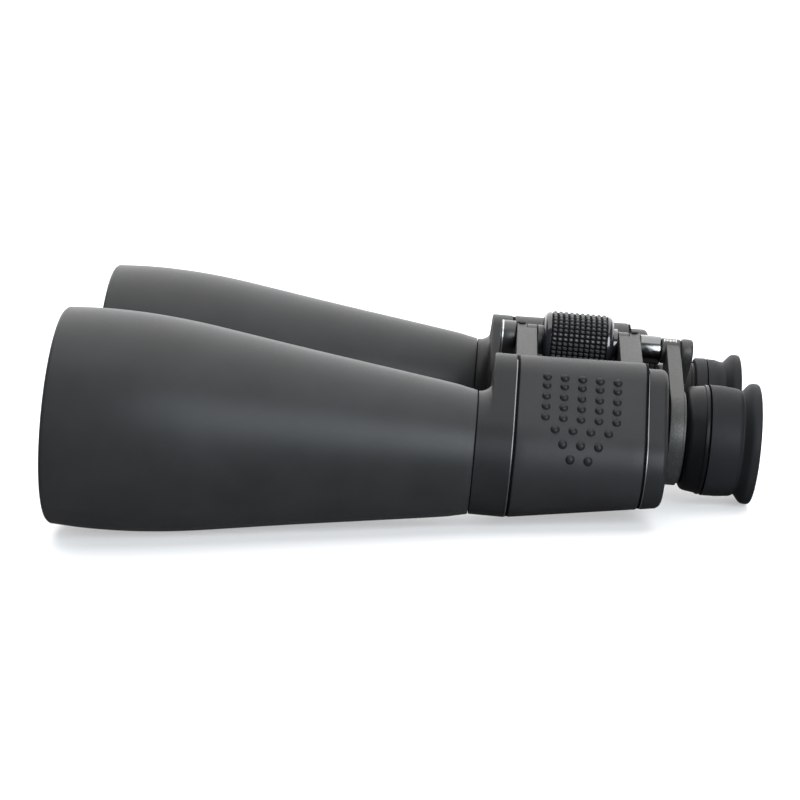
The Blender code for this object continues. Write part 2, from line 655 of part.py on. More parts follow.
def make_eyepiece(label, side):
    """The guide in the rear cover, the tube that slides in it, and the ocular behind the arm."""
    tube(f"{label}_eyepiece_guide", (-45.2, -34.6), GUIDE_RADIUS, TUBE_BORE, EYEPIECE, ANODISED, side)
    tube(f"{label}_eyepiece_tube", (-55.8, -31.5), TUBE_BORE - GAP, LENS_BORE, EYEPIECE, ANODISED, side)
    lens(f"{label}_field_lens", (-48.2, 1.6), (-50.4, -2.0), LENS_BORE - GAP, EYEPIECE, side, 2)
    ocular = (-74.0, -57.6)
    tube(f"{label}_ocular_barrel", ocular, OCULAR_BORE - GAP, LENS_BORE, EYEPIECE, ANODISED, side)
    lens(f"{label}_eye_lens", (-67.2, 2.2), (-71.0, -1.4), LENS_BORE - GAP, EYEPIECE, side, 2)


def make_eyepieces():
    for label, side in SIDES.items():
        make_eyepiece(label, side)
    make_left_collar()
    make_right_collar()
    make_dioptre_ring()
    make_eyecup("left", LEFT, -62.7, 22.7, -68.2)
    make_eyecup("right", RIGHT, -68.3, 21.7, -72.0)


def main():
    for label, side in SIDES.items():
        housing = make_housing(label, side)
        if side == LEFT:
            for which, y in HINGE_SCREW_Y.items():
                add_hinge_screw(which, housing, y)
        make_armour(label, side)
        make_front_cover(label, side)
        make_rear_cover(label, side)
        make_prism_set(label, side)
        make_objective(label, side)
    make_hinge()
    make_focus_wheel()
    make_bridge()
    make_eyepieces()


main()
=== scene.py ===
"""The finished binoculars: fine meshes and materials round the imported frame.

Shapes are worked out in the object's own coordinates, in millimetres: Y runs forward along
the optical axes, the hinge line is x = 0 and z = 0, and the left half has negative x.
"""

import json
import math

import bmesh
import bpy
from mathutils import Matrix, Vector


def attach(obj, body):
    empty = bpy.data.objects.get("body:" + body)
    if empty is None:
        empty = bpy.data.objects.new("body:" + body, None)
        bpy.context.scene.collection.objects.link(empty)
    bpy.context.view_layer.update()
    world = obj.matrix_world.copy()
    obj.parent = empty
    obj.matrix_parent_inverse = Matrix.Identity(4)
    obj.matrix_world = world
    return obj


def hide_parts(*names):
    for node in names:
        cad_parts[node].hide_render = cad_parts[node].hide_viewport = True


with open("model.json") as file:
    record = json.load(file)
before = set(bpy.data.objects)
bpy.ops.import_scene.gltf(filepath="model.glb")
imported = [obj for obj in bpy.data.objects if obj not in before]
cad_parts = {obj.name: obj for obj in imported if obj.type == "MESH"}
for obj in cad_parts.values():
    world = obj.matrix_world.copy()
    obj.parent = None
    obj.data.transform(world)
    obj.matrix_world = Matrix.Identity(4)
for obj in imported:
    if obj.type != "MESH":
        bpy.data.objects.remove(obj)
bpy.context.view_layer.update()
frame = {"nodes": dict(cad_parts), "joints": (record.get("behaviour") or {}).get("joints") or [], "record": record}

MM = 0.001
LEFT, RIGHT = 1, -1
SIDES = {"left": LEFT, "right": RIGHT}

# ---------------------------------------------------------------- sizes, in millimetres

# As in the CAD, but for the right knuckle, which is smaller here, and the clearance round both.
GAP = 0.3
HINGE, OBJECTIVE, EYEPIECE = (0.0, 0.0), (-64.15, -37.1), (-35.1, -29.5)
UPPER_CIRCLE_FRONT, UPPER_CIRCLE_REAR = (-51.4, -18.2, 19.4), (-51.4, -16.9, 19.3)
INNER_CIRCLE = (-35.1, -29.5, 20.0)
OUTER_CIRCLE_FRONT, OUTER_CIRCLE_REAR = (-64.15, -37.1, 24.5), (-70.0, -34.4, 17.7)
SECTION_FRONT_Y, SECTION_REAR_Y = 17.0, -36.5
HOUSING_FRONT_Y, HOUSING_REAR_Y = 16.7, -34.6
ARMOUR_THICK, ARMOUR_ROUND, ARMOUR_FIRST, ARMOUR_LAST = 1.6, 0.7, 60, 300
WALL, COVER_WALL = 2.0, 3.5
COVER_FRONT_Y, COVER_SEAT_Y, COLLAR_END_Y, SPIGOT_END_Y, FILLET = 26.0, 17.3, 31.5, 37.0, 4.6
SPIGOT_RADIUS, LIGHT_RADIUS = 22.0, 20.0
REAR_COVER_Y, REAR_COVER_END_Y, REAR_COVER_DROP = -35.2, -43.0, 2.2
BARREL_OUTER = (
    (196.8, 42.2), (195.6, 43.2), (183.0, 43.8), (170.0, 43.7), (157.4, 43.0), (143.0, 41.5),
    (127.9, 39.3), (98.4, 34.8), (46.0, 27.3), (36.0, 25.5), (31.8, 24.6),
)
BARREL_INNER = ((31.8, 22.4), (39.0, 22.4), (150.0, 40.4), (196.0, 40.4), (196.8, 41.0))
CELL_REAR_Y, CELL_FRONT_Y, CELL_RADIUS = 152.0, 173.0, 40.0
LENS_RADIUS, CLEAR_RADIUS = 36.5, 35.0
LUG_FRONT_Y, LUG_REAR_Y = (8.4, 16.9), (-34.8, -25.7)
KNUCKLE_RADIUS, LUG_ROOT = {LEFT: 6.5, RIGHT: 6.2}, (-36.0, -8.2, 5.0)
KNUCKLE_CLEARANCE = 7.2
# Where the discs that paint the shade in the lugs' screw holes sit: y and radius.
HINGE_HOLE_SHADES = {"front": (14.9, 2.0), "rear": (-32.3, 2.0)}
HINGE_SCREW_Y = (14.9, -32.6)
TUBE_RADIUS, TUBE_NECK_RADIUS = 4.9, 4.3
CAP_Y, CAP_RADIUS = (17.3, 23.4), 7.0
WHEEL_Y, WHEEL_RADIUS, GRIP_Y = (-23.6, 5.6), 12.6, (-20.5, 2.3)
SLEEVE_Y, SLEEVE_RADIUS = (-44.0, -35.2), 5.9
SPINDLE_RADIUS = 3.2
ARM_Y, ARM_RING, ARM_BOSS, ARM_BOSS_Y = (-51.8, -46.0), 19.6, 18.7, -52.7
LEFT_HUB, LEFT_HUB_Y = 5.3, (-51.95, -44.3)
RIGHT_HUB, RIGHT_HUB_Y = 5.7, (-57.5, -52.25)
END_SCREW_SEAT_Y, END_SCREW_RADIUS = -56.0, 4.0
TUBE_BORE, LENS_BORE, OCULAR_BORE, SKIRT_RADIUS = 15.1, 13.2, 17.9, 19.3
EYECUP_END_Y, FLARE_RADIUS = -82.3, 24.6

# Detail that only the finished model has
SMOOTH_ANGLE = math.radians(32)
TURN_STEPS, SECTION_STEP = 96, 4
MERGE_DISTANCE = 0.0005
DOT_RADIUS, DOT_HEIGHT = 1.75, 1.05
DOT_ROWS = (  # z, how many, and how many half pitches behind the first row they start
    (-4.0, 5, 0), (-6.9, 5, 0), (-10.5, 5, 0), (-13.9, 5, 0), (-17.4, 5, 0),
    (-21.3, 4, 1.15), (-26.2, 3, 2.1), (-31.6, 2, 3.05),
)
SEAM_GAP, SEAM_EDGE, SEAM_FIRST = 0.6, 0.3, 106
# GROOVE_DEPTH and GROOVE_LAP place the black strips that paint the shade in the seam grooves.
SEAM_DEPTH, GROOVE_DEPTH, STRIP_BASE_DEPTH, SEAM_LAP, GROOVE_LAP = 0.15, 0.35, 1.5, 0.1, 0.3
# The near-black ring round each eyepiece guide, which paints the shade in the gap beside it.
SHIELD_Y, SHIELD_RADIUS, SHIELD_BORE = (-43.2, -45.2), 19.0, 16.0
LUG_HOLE_RADIUS, LUG_HOLE_DEPTH, LUG_HOLE_Z = 1.8, 4.0, 6.0
DOT_FIRST_Y, DOT_PITCH = 5.2, 6.93
KNURL_ROWS, KNURL_COLUMNS, KNURL_DEPTH = 40, 10, 1.0
# GROOVE_SHARE sets how far down the knurl the band of painted shade in its gaps lies.
KNURL_SHARE, GROOVE_SHARE = (0.0, 0.32, 0.68), 0.62

# ---------------------------------------------------------------- the object's own axes

hinge_joint = next(j for j in frame["joints"] if j["name"] == "interpupillary_hinge")
forward = Vector(hinge_joint["axis"]).normalized()
across = Vector((1.0, 0.0, 0.0))
AXES = Matrix((across, forward, across.cross(forward))).transposed().to_4x4()
OWN = Matrix.Translation(hinge_joint["pos_m"]) @ AXES @ Matrix.Scale(MM, 4)


def body_of(node):
    return next(b for b, nodes in frame["record"]["behaviour"]["bodies"].items() if node in nodes)


# ---------------------------------------------------------------- materials


def new_material(name, colour, roughness, metallic=0.0):
    material = bpy.data.materials.new(name)
    material.use_nodes = True
    shader = material.node_tree.nodes["Principled BSDF"]
    shader.inputs["Base Color"].default_value = (*colour, 1.0)
    shader.inputs["Roughness"].default_value = roughness
    shader.inputs["Metallic"].default_value = metallic
    return material, shader


def add_noise(material, scale, detail=3.0):
    """A noise texture whose scale is in cells for each metre of the object."""
    tree = material.node_tree
    place = tree.nodes.new("ShaderNodeTexCoord")
    noise = tree.nodes.new("ShaderNodeTexNoise")
    noise.inputs["Scale"].default_value = scale
    noise.inputs["Detail"].default_value = detail
    tree.links.new(place.outputs["Object"], noise.inputs["Vector"])
    return noise.outputs["Fac"]


def add_range(material, source, low, high, start=0.3, end=0.7):
    tree = material.node_tree
    span = tree.nodes.new("ShaderNodeMapRange")
    for name, value in (("From Min", start), ("From Max", end), ("To Min", low), ("To Max", high)):
        span.inputs[name].default_value = value
    tree.links.new(source, span.inputs["Value"])
    return span.outputs["Result"]


def add_colours(material, source, dark, light, start=0.3, end=0.7):
    tree = material.node_tree
    ramp = tree.nodes.new("ShaderNodeValToRGB")
    ramp.color_ramp.elements[0].position = start
    ramp.color_ramp.elements[1].position = end
    ramp.color_ramp.elements[0].color = (*dark, 1.0)
    ramp.color_ramp.elements[1].color = (*light, 1.0)
    tree.links.new(source, ramp.inputs["Fac"])
    return ramp.outputs["Color"]


def add_bump(material, shader, source, height_mm, strength=1.0):
    tree = material.node_tree
    bump = tree.nodes.new("ShaderNodeBump")
    bump.inputs["Strength"].default_value = strength
    bump.inputs["Distance"].default_value = height_mm * MM
    tree.links.new(source, bump.inputs["Height"])
    tree.links.new(bump.outputs["Normal"], shader.inputs["Normal"])


def scaled(colour, factor):
    return tuple(channel * factor for channel in colour)


def coating(
    name, colour, roughness, grain, height_mm, variation=0.12, metallic=0.0, specular=0.5, sheen=0.0
):
    """A surface with a fine grain, slow colour drift, and roughness that follows the grain."""
    material, shader = new_material(name, colour, roughness, metallic)
    links = material.node_tree.links
    drift = add_noise(material, 45.0, 4.0)
    colours = add_colours(
        material, drift, scaled(colour, 1.0 - variation), scaled(colour, 1.0 + variation)
    )
    links.new(colours, shader.inputs["Base Color"])
    fine = add_noise(material, grain, 2.0)
    low, high = max(roughness - 0.06, 0.03), min(roughness + 0.06, 1.0)
    links.new(add_range(material, fine, low, high), shader.inputs["Roughness"])
    add_bump(material, shader, fine, height_mm)
    shader.inputs["Specular IOR Level"].default_value = specular
    shader.inputs["Sheen Weight"].default_value = sheen
    shader.inputs["Sheen Roughness"].default_value = 0.45
    return material


def speckled_paint(name, colour, flake):
    """A fine textured paint over a casting, with small lighter flecks where it is worn."""
    material, shader = new_material(name, colour, 0.45, 0.1)
    shader.inputs["Specular IOR Level"].default_value = 0.28
    tree = material.node_tree
    place = tree.nodes.new("ShaderNodeTexCoord")
    cells = tree.nodes.new("ShaderNodeTexVoronoi")
    cells.inputs["Scale"].default_value = 1100.0
    tree.links.new(place.outputs["Object"], cells.inputs["Vector"])
    colours = add_colours(material, cells.outputs["Distance"], flake, colour, 0.05, 0.35)
    tree.links.new(colours, shader.inputs["Base Color"])
    add_bump(material, shader, cells.outputs["Distance"], 0.05, 0.8)
    return material


def optical_glass(name, tint, coated):
    material, shader = new_material(name, tint, 0.02)
    shader.inputs["Transmission Weight"].default_value = 1.0
    shader.inputs["IOR"].default_value = 1.52
    if coated:
        shader.inputs["Specular Tint"].default_value = (0.35, 0.85, 0.75, 1.0)
    noise = add_noise(material, 60.0)
    material.node_tree.links.new(
        add_range(material, noise, 0.01, 0.03), shader.inputs["Roughness"]
    )
    return material


MATERIALS = {
    "barrel_coat": coating(
        "barrel_coat", (0.0140, 0.0146, 0.0156), 0.46, 2600.0, 0.012, specular=0.18, sheen=0.02
    ),
    "armour": coating("armour", (0.0130, 0.0133, 0.0145), 0.48, 2200.0, 0.010, specular=0.16),
    "cover_plastic": coating(
        "cover_plastic", (0.0095, 0.010, 0.011), 0.44, 2400.0, 0.010, specular=0.13
    ),
    "cap_plastic": coating("cap_plastic", (0.014, 0.0145, 0.0155), 0.36, 2600.0, 0.008, specular=0.35),
    "grey_paint": speckled_paint("grey_paint", (0.0215, 0.022, 0.021), (0.050, 0.051, 0.049)),
    "eyecup_rubber": coating(
        "eyecup_rubber", (0.0085, 0.009, 0.0102), 0.54, 1800.0, 0.014, specular=0.08
    ),
    "grip_rubber": coating("grip_rubber", (0.022, 0.023, 0.0245), 0.36, 2200.0, 0.010, specular=0.5),
    "gloss_black": coating("gloss_black", (0.012, 0.012, 0.015), 0.16, 400.0, 0.002),
    "anodised": coating("anodised", (0.020, 0.021, 0.022), 0.42, 3000.0, 0.006, metallic=0.4),
    "brass": coating("brass", (0.36, 0.28, 0.15), 0.32, 1500.0, 0.004, metallic=1.0),
    "spring_steel": coating("spring_steel", (0.52, 0.53, 0.55), 0.30, 1500.0, 0.004, metallic=1.0),
    "screw_steel": coating("screw_steel", (0.06, 0.06, 0.065), 0.35, 1500.0, 0.006, metallic=0.9),
    "glass": optical_glass("glass", (0.93, 0.97, 0.95), False),
    "coated_glass": optical_glass("coated_glass", (0.86, 0.95, 0.93), True),
}
MARK_PAINT = coating("mark_paint", (0.62, 0.62, 0.60), 0.5, 1500.0, 0.01, variation=0.25)
# A light metal ring that paints the highlight on the tripod cap's front rim.
CAP_RIM_HIGHLIGHT = coating("cap_rim_highlight", (0.42, 0.43, 0.44), 0.34, 1500.0, 0.004, metallic=0.9)
# A darker copy of the armour rubber for the grip dots: painted shade on the dots.
DOT_SHADE_RUBBER = coating("dot_shade_rubber", (0.008, 0.0084, 0.009), 0.45, 2200.0, 0.008, specular=0.13)
# A much darker copy of the cover plastic for the eyepiece collars, painting the shade they sit in.
COLLAR_SHADE_BLACK = coating("collar_shade_black", (0.003, 0.0033, 0.004), 0.40, 2200.0, 0.006, specular=0.10)
# Near-black, for strips, bands, rings and discs that paint shade: in the seam grooves, in the knurl's gaps, in the
# lugs' screw holes and round the eyepiece guides.
PAINTED_SHADE_BLACK = coating("painted_shade_black", (0.001, 0.001, 0.0012), 0.80, 1500.0, 0.004, specular=0.05)
POLISHED = coating("polished_sleeve", (0.12, 0.123, 0.125), 0.20, 500.0, 0.001, metallic=1.0)
SEAM_METAL = coating("seam_metal", (0.13, 0.135, 0.14), 0.42, 1500.0, 0.006, metallic=0.8)

# ---------------------------------------------------------------- meshes


def lerp(a, b, share):
    return a + (b - a) * share


def between(a, b, share):
    return tuple(lerp(p, q, share) for p, q in zip(a, b))


def mirrored(points, side):
    return [(side * x, z) for x, z in points]


def ring_at(outline, y):
    return [(x, y, z) for x, z in outline]


def loft_mesh(rings, closed=False):
    """A mesh through equal rings of points: capped at both ends, or closed on itself."""
    bm = bmesh.new()
    loops = [[bm.verts.new(point) for point in ring] for ring in rings]
    pairs = list(zip(loops, loops[1:]))
    if closed:
        pairs.append((loops[-1], loops[0]))
    for first, second in pairs:
        for i in range(len(first)):
            j = (i + 1) % len(first)
            bm.faces.new((first[i], first[j], second[j], second[i]))
    if not closed:
        bm.faces.new(loops[0][::-1])
        bm.faces.new(loops[-1])
    return bm


def finish_mesh(name, bm, material):
    """Turns a bmesh in the object's own millimetres into an object in the frame."""
    bmesh.ops.remove_doubles(bm, verts=bm.verts, dist=MERGE_DISTANCE)
    bmesh.ops.recalc_face_normals(bm, faces=bm.faces)
    bm.transform(OWN)
    mesh = bpy.data.meshes.new(name)
    bm.to_mesh(mesh)
    bm.free()
    mesh.shade_smooth()
    mesh.set_sharp_from_angle(angle=SMOOTH_ANGLE)
    mesh.materials.append(material)
    obj = bpy.data.objects.new(name, mesh)
    bpy.context.scene.collection.objects.link(obj)
    return obj


def add_piece(name, bm, node, material=None, stands_for=True):
    """Makes a finished piece that moves with a CAD node's body, and may stand for the node."""
    slot_name = SLOTS[node]
    obj = finish_mesh(name, bm, material or MATERIALS[slot_name])
    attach(obj, body_of(node))
    if stands_for:
        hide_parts(node)


SLOTS = {part["node"]: part["material_slot"] for part in frame["record"]["subparts"]}


def rounded(profile, radius=0.25, steps=3, ring=True):
    """A profile of (y, r) or (y, r, corner radius) points with its corners rounded."""
    points = []
    count = len(profile)
    for i, corner in enumerate(profile):
        here = Vector(corner[:2])
        size = corner[2] if len(corner) > 2 else radius
        if (not ring and i in (0, count - 1)) or size == 0:
            points.append(tuple(here))
            continue
        before, after = Vector(profile[i - 1][:2]) - here, Vector(profile[(i + 1) % count][:2]) - here
        bend = before.angle(-after) if before.length and after.length else 0.0
        if bend < math.radians(12):
            points.append(tuple(here))
            continue
        start = here + before.normalized() * min(size, 0.45 * before.length)
        end = here + after.normalized() * min(size, 0.45 * after.length)
        for step in range(steps + 1):
            t = step / steps
            points.append(tuple(start * (1 - t) ** 2 + here * 2 * t * (1 - t) + end * t * t))
    return points


def turned_mesh(profile, centre, side=LEFT, ring=True, steps=TURN_STEPS):
    """Turns a profile round a line along Y through centre."""
    x, z = side * centre[0], centre[1]
    rings = []
    for i in range(steps):
        angle = 2 * math.pi * i / steps
        rings.append([(x + r * math.cos(angle), y, z + r * math.sin(angle)) for y, r in profile])
    bm = bmesh.new()
    loops = [[bm.verts.new(point) for point in points] for points in rings]
    last = len(profile) if ring else len(profile) - 1
    for i, loop in enumerate(loops):
        other = loops[(i + 1) % steps]
        for a in range(last):
            b = (a + 1) % len(profile)
            bm.faces.new((loop[a], loop[b], other[b], other[a]))
    return bm


def turned(node, profile, centre, side=LEFT, ring=True, radius=0.25, steps=TURN_STEPS, material=None):
    mesh = turned_mesh(rounded(profile, radius, ring=ring), centre, side, ring, steps)
    add_piece(f"{node}_fine", mesh, node, material=material)


def hull_outline(circles, inset=0.0, first=0, last=359, like=None, step=SECTION_STEP):
    """The convex outline round some circles: in each direction, the one that reaches furthest."""
    like = like or circles
    points = []
    for degrees in range(first, last + 1, step):
        angle = math.radians(degrees)
        along_x, along_z = math.cos(angle), math.sin(angle)
        reach = [x * along_x + z * along_z + radius for x, z, radius in like]
        x, z, radius = circles[reach.index(max(reach))]
        points.append((x + (radius - inset) * along_x, z + (radius - inset) * along_z))
    return points


def housing_circles(y):
    share = min((y - SECTION_REAR_Y) / (SECTION_FRONT_Y - SECTION_REAR_Y), 1.0)
    outer = between(OUTER_CIRCLE_REAR, OUTER_CIRCLE_FRONT, share)
    return outer, between(UPPER_CIRCLE_REAR, UPPER_CIRCLE_FRONT, share), INNER_CIRCLE


def housing_outline(y, inset, first=0, last=359):
    middle = 0.5 * (SECTION_REAR_Y + SECTION_FRONT_Y)
    return hull_outline(housing_circles(y), inset, first, last, like=housing_circles(middle))


def section_ring(side, y, inset):
    return ring_at(mirrored(housing_outline(y, inset), side), y)


def rear_cover_ring(side, y, inset):
    """The rear cover's outline: the housing's, with its top lower by REAR_COVER_DROP."""
    outer, (x, z, radius), inner = housing_circles(y)
    circles = outer, (x, z - REAR_COVER_DROP, radius), inner
    return ring_at(mirrored(hull_outline(circles, inset), side), y)


def edge_stations(rear, front, round_off, steps=4, between_steps=6):
    """(y, inset) from rear to front, with both edges rounded to round_off."""
    arc = []
    for i in range(steps + 1):
        angle = 0.5 * math.pi * i / steps
        arc.append((round_off * (1 - math.sin(angle)), round_off * (1 - math.cos(angle))))
    stations = [(rear + ahead, inset) for inset, ahead in arc]
    inner = rear + round_off, front - round_off
    stations += [(lerp(*inner, i / between_steps), 0.0) for i in range(1, between_steps)]
    stations += [(front - ahead, inset) for inset, ahead in reversed(arc)]
    return stations


def slab_mesh(circles, y_span, side=LEFT, round_off=0.3, hole=None):
    """A plate along Y, the hull of some circles, with rounded edges and perhaps a round hole.

    The hole is (x, z, ((y, radius), ...)), its profile from front to rear.
    """
    rings = [
        ring_at(mirrored(hull_outline(circles, inset), side), y)
        for y, inset in edge_stations(*y_span, round_off, between_steps=1)
    ]
    if hole:
        x, z, bore = hole
        rings += [ring_at(mirrored(hull_outline(((x, z, radius),)), side), y) for y, radius in bore]
    return loft_mesh(rings, closed=bool(hole))


def joined(*meshes):
    """One bmesh with the contents of several."""
    whole = bmesh.new()
    for bm in meshes:
        mesh = bpy.data.meshes.new("joining")
        bm.to_mesh(mesh)
        bm.free()
        whole.from_mesh(mesh)
        bpy.data.meshes.remove(mesh)
    return whole


def cut(bm, *cutters):
    """The bmesh less the cutters, each a bmesh too."""
    target = finish_cutter(bm)
    tools = [finish_cutter(tool) for tool in cutters]
    for tool in tools:
        modifier = target.modifiers.new("cut", "BOOLEAN")
        modifier.operation, modifier.solver, modifier.object = "DIFFERENCE", "EXACT", tool
    result = bmesh.new()
    result.from_object(target, bpy.context.evaluated_depsgraph_get())
    for obj in (target, *tools):
        bpy.data.meshes.remove(obj.data)
    return result


def finish_cutter(bm):
    bmesh.ops.remove_doubles(bm, verts=bm.verts, dist=MERGE_DISTANCE)
    bmesh.ops.recalc_face_normals(bm, faces=bm.faces)
    mesh = bpy.data.meshes.new("cutter")
    bm.to_mesh(mesh)
    bm.free()
    obj = bpy.data.objects.new("cutter", mesh)
    bpy.context.scene.collection.objects.link(obj)
    return obj


# ---------------------------------------------------------------- prism housings


def make_housing(label, side):
    """The painted shell, open at both ends, with its two hinge lugs."""
    inset = ARMOUR_THICK + GAP
    stations = edge_stations(HOUSING_REAR_Y, HOUSING_FRONT_Y, 0.3)
    outer = [section_ring(side, y, inset + more) for y, more in stations]
    inner = [section_ring(side, y, inset + WALL) for y in (HOUSING_FRONT_Y, HOUSING_REAR_Y)]
    shell = loft_mesh(outer + inner, closed=True)
    node = f"{label}_prism_housing"
    add_piece(f"{node}_fine", shell, node)
    own_halves = ("front", "rear") if side == LEFT else ("rear", "front")
    for span, own_half, screw_y in zip((LUG_FRONT_Y, LUG_REAR_Y), own_halves, HINGE_SCREW_Y):
        lug = make_lug(side, span, own_half, screw_y)
        which = "front" if span == LUG_FRONT_Y else "rear"
        add_piece(f"{label}_{which}_lug", lug, node, stands_for=False)


def make_lug(side, y_span, own_half, screw_y):
    rear, front = y_span
    middle = 0.5 * (rear + front)
    if own_half == "front":
        other = rear - 1.0, middle + 0.5 * GAP
    else:
        other = middle - 0.5 * GAP, front + 1.0
    knuckle_gap = slab_mesh(((*HINGE, KNUCKLE_CLEARANCE),), other, round_off=0.01)
    bore = slab_mesh(((*HINGE, TUBE_RADIUS + 0.2),), (rear - 2.0, front + 2.0), round_off=0.01)
    arm = slab_mesh(((*HINGE, KNUCKLE_RADIUS[side]), LUG_ROOT), y_span, side, 0.45)
    inside = [section_ring(side, y, ARMOUR_THICK + GAP + 0.6) for y in (rear - 1.0, front + 1.0)]
    tools = [knuckle_gap, bore, loft_mesh(inside)]
    if side == LEFT:
        hole = bmesh.new()
        bmesh.ops.create_cone(
            hole, cap_ends=True, segments=32, radius1=LUG_HOLE_RADIUS, radius2=LUG_HOLE_RADIUS,
            depth=LUG_HOLE_DEPTH,
        )
        bmesh.ops.translate(hole, verts=hole.verts, vec=(0.0, screw_y, LUG_HOLE_Z))
        tools.append(hole)
    return cut(arm, *tools)


def outer_surface(y, z):
    """The point and outward normal of the left armour at that y and z, as (x, z) pairs."""
    outline = housing_outline(y, 0.0, 90, 270)
    for (ax, az), (bx, bz) in zip(outline, outline[1:]):
        if bz <= z <= az:
            share = (az - z) / (az - bz)
            normal = Vector((bz - az, ax - bx)).normalized()
            return Vector((lerp(ax, bx, share), z)), normal
    raise ValueError(f"the armour has no outer point at z = {z}")


def dot_mesh(side, y, z):
    """One raised grip dot, a low dome with a soft foot."""
    spot, normal = outer_surface(y, z)
    up = Vector((normal.y, -normal.x))
    dome = (
        (1.12, -0.12), (1.0, 0.03), (0.9, 0.32), (0.72, 0.66), (0.45, 0.9), (0.2, 0.99), (0.0, 1.0),
    )
    bm = bmesh.new()
    steps = 24
    loops = []
    for spread, rise in dome:
        loop = []
        for i in range(steps):
            angle = 2 * math.pi * i / steps
            offset = up * (DOT_RADIUS * spread * math.cos(angle)) + normal * (DOT_HEIGHT * rise)
            x, height = spot + offset
            loop.append(bm.verts.new((side * x, y + DOT_RADIUS * spread * math.sin(angle), height)))
        loops.append(loop)
    for first, second in zip(loops, loops[1:]):
        for i in range(steps):
            j = (i + 1) % steps
            bm.faces.new((first[i], first[j], second[j], second[i]))
    bmesh.ops.remove_doubles(bm, verts=bm.verts, dist=MERGE_DISTANCE)
    bm.faces.new([v for v in loops[0] if v.is_valid])
    return bm


def make_armour(label, side):
    rings = []
    rear, front = HOUSING_REAR_Y + SEAM_GAP, HOUSING_FRONT_Y - SEAM_GAP
    for y, round_off in edge_stations(rear, front, ARMOUR_ROUND, between_steps=12):
        outer = housing_outline(y, round_off, ARMOUR_FIRST, ARMOUR_LAST)
        inner = housing_outline(y, ARMOUR_THICK, ARMOUR_FIRST, ARMOUR_LAST)
        rings.append(ring_at(mirrored(outer + inner[::-1], side), y))
    node = f"{label}_side_armour"
    add_piece(f"{node}_fine", loft_mesh(rings), node)
    dots = []
    for z, count, first in DOT_ROWS:
        for i in range(count):
            dots.append(dot_mesh(side, DOT_FIRST_Y - DOT_PITCH * (0.5 * first + i), z))
    add_piece(f"{label}_grip_dots", joined(*dots), node, material=DOT_SHADE_RUBBER, stands_for=False)


def seam_strip(name, side, y_span, depth, drop, node, material, first=ARMOUR_FIRST):
    """A thin strip along the armour's edge, set in by depth from the housing's outline."""
    rings = []
    for y in y_span:
        outer, (x, z, radius), inner = housing_circles(y)
        circles = outer, (x, z - drop, radius), inner
        top = hull_outline(circles, depth, first, ARMOUR_LAST)
        base = hull_outline(circles, STRIP_BASE_DEPTH, first, ARMOUR_LAST)
        rings.append(ring_at(mirrored(top + base[::-1], side), y))
    add_piece(name, loft_mesh(rings), node, material=material, stands_for=False)


def make_seams(label, side):
    """The thin metal edge of each cover, and a black strip that paints the shade in the groove between it and the
    armour.
    """
    front_edge, rear_edge = COVER_SEAT_Y - SEAM_EDGE, REAR_COVER_Y + SEAM_EDGE
    front, rear = f"{label}_front_cover", f"{label}_rear_cover"
    edge = front_edge, COVER_SEAT_Y + SEAM_LAP
    seam_strip(f"{label}_front_seam", side, edge, SEAM_DEPTH, 0.0, front, SEAM_METAL, SEAM_FIRST)
    edge, drop = (REAR_COVER_Y - SEAM_LAP, rear_edge), REAR_COVER_DROP
    seam_strip(f"{label}_rear_seam", side, edge, SEAM_DEPTH, drop, rear, SEAM_METAL, SEAM_FIRST)
    armour = f"{label}_side_armour"
    # Black strips set into the grooves paint the shade in them.
    groove = HOUSING_FRONT_Y - SEAM_GAP - GROOVE_LAP, front_edge
    seam_strip(f"{label}_front_groove_shade", side, groove, GROOVE_DEPTH, 0.0, armour, PAINTED_SHADE_BLACK)
    groove = rear_edge, HOUSING_REAR_Y + SEAM_GAP + GROOVE_LAP
    seam_strip(f"{label}_rear_groove_shade", side, groove, GROOVE_DEPTH, 0.0, armour, PAINTED_SHADE_BLACK)


def fillet_circles(rise):
    outer = OUTER_CIRCLE_FRONT
    return outer, between(outer, UPPER_CIRCLE_FRONT, rise), between(outer, INNER_CIRCLE, rise)


def make_front_cover(label, side):
    """The cover plate, its filleted collar and the spigot for the barrel."""
    def circle_ring(radius, y):
        return ring_at(mirrored(hull_outline(((*OBJECTIVE, radius),)), side), y)

    rings = [section_ring(side, COVER_SEAT_Y, 0.25), section_ring(side, COVER_SEAT_Y + 0.25, 0.0)]
    rings += [section_ring(side, y, 0.0) for y in (COVER_SEAT_Y + 1.0, COVER_FRONT_Y - 1.0)]
    span = math.dist(OUTER_CIRCLE_FRONT[:2], UPPER_CIRCLE_FRONT[:2])
    flange_rise = FILLET / (span - 5.0)
    edge = 1.0 / span
    stations = []
    for i in range(1, 6):
        turn = 0.5 * math.pi * i / 5
        stations.append((COVER_FRONT_Y - 1.0 + math.sin(turn), 1.0 - edge * (1 - math.cos(turn))))
    for i in range(9):
        turn = 0.5 * math.pi * i / 8
        forward_by = FILLET * (1.0 - math.cos(turn))
        stations.append((COVER_FRONT_Y + 0.3 + forward_by, flange_rise * (1.0 - math.sin(turn))))
    rings += [ring_at(mirrored(hull_outline(fillet_circles(rise)), side), y) for y, rise in stations]
    radius = OUTER_CIRCLE_FRONT[2]
    rings += [circle_ring(radius, COLLAR_END_Y - 0.25), circle_ring(radius - 0.25, COLLAR_END_Y)]
    rings += [circle_ring(SPIGOT_RADIUS, COLLAR_END_Y), circle_ring(SPIGOT_RADIUS, SPIGOT_END_Y)]
    rings += [circle_ring(LIGHT_RADIUS, y) for y in (SPIGOT_END_Y, COVER_FRONT_Y - 2.4)]
    rings += [section_ring(side, y, COVER_WALL) for y in (COVER_FRONT_Y - 2.4, COVER_SEAT_Y)]
    node = f"{label}_front_cover"
    add_piece(f"{node}_fine", loft_mesh(rings, closed=True), node)


